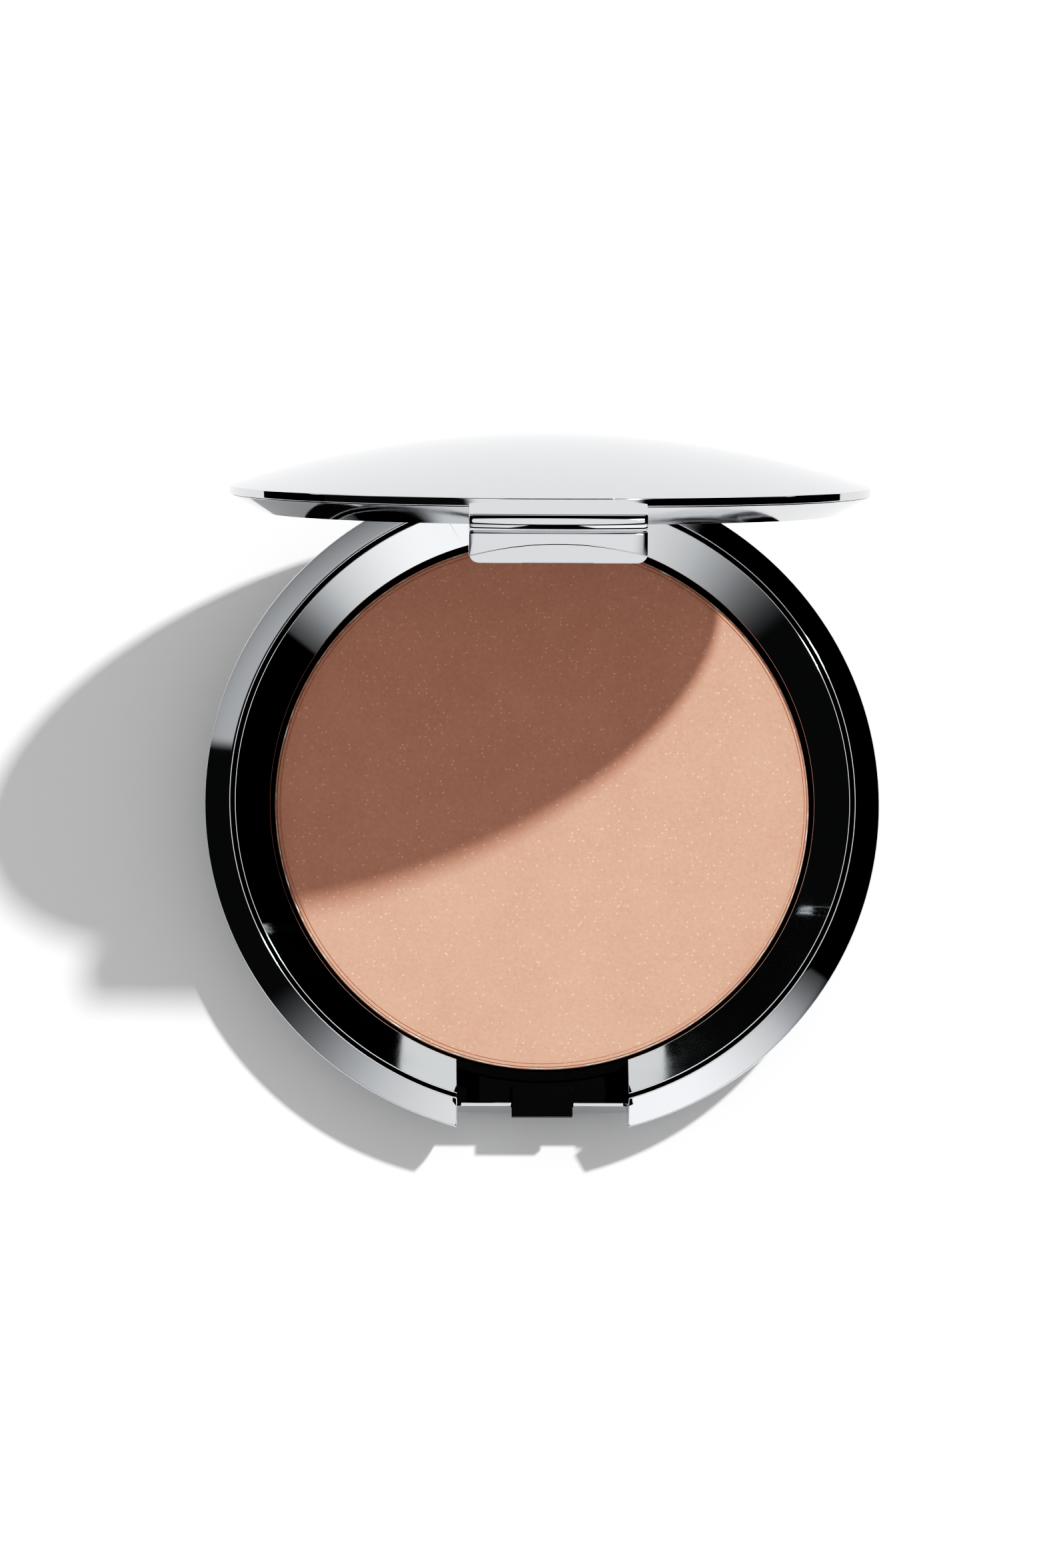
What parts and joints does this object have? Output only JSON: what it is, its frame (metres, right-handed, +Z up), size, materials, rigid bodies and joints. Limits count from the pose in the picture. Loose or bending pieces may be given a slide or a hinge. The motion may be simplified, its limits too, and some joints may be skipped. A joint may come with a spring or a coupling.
{
  "type": "powder compact",
  "caption": "Round chrome-plated powder compact with pressed powder in a metal pan and a domed mirror lid on a rear friction hinge.",
  "frame": {"origin": "centre of the flat underside of the base, on the surface it rests on", "axes": "+Z up through the centre of the powder, -Y towards the clasp at the front, +Y towards the hinge at the back, +X to the right seen from the front"},
  "size_m": [0.0746, 0.0734, 0.0788],
  "materials": {
    "plated_case": "polished",
    "plated_ring": "polished",
    "black_tray": "satin",
    "black_catch": "satin",
    "pan_metal": "satin",
    "pressed_powder": "matte",
    "adhesive": "satin",
    "ballast_steel": "satin",
    "label_paper": "matte",
    "pin_steel": "polished",
    "mirror_glass": "polished",
    "foam_tape": "matte",
    "black_backing": "matte",
    "bearing_plastic": "satin"
  },
  "bodies": {
    "base": {"base_shell": "plated_case", "deck_ring": "plated_ring", "pan_tray": "black_tray", "catch_block": "black_catch", "powder_pan": "pan_metal", "pan_glue": "adhesive", "powder_cake": "pressed_powder", "ballast_plate": "ballast_steel", "base_label": "label_paper", "hinge_pin": "pin_steel", "hinge_washer_left": "bearing_plastic", "hinge_washer_right": "bearing_plastic"},
    "lid": {"lid_shell": "plated_case", "lid_ring": "plated_ring", "mirror": "mirror_glass", "mirror_tape": "foam_tape", "mirror_backing": "black_backing", "clasp_spring": "black_catch", "friction_sleeve": "bearing_plastic"}
  },
  "joints": [
    {"name": "lid_hinge", "type": "hinge", "parent": "base", "child": "lid", "pos_m": [0, 0.034, 0.0091], "axis": [-1, 0, 0], "range_deg": [-77, 38]}
  ]
}
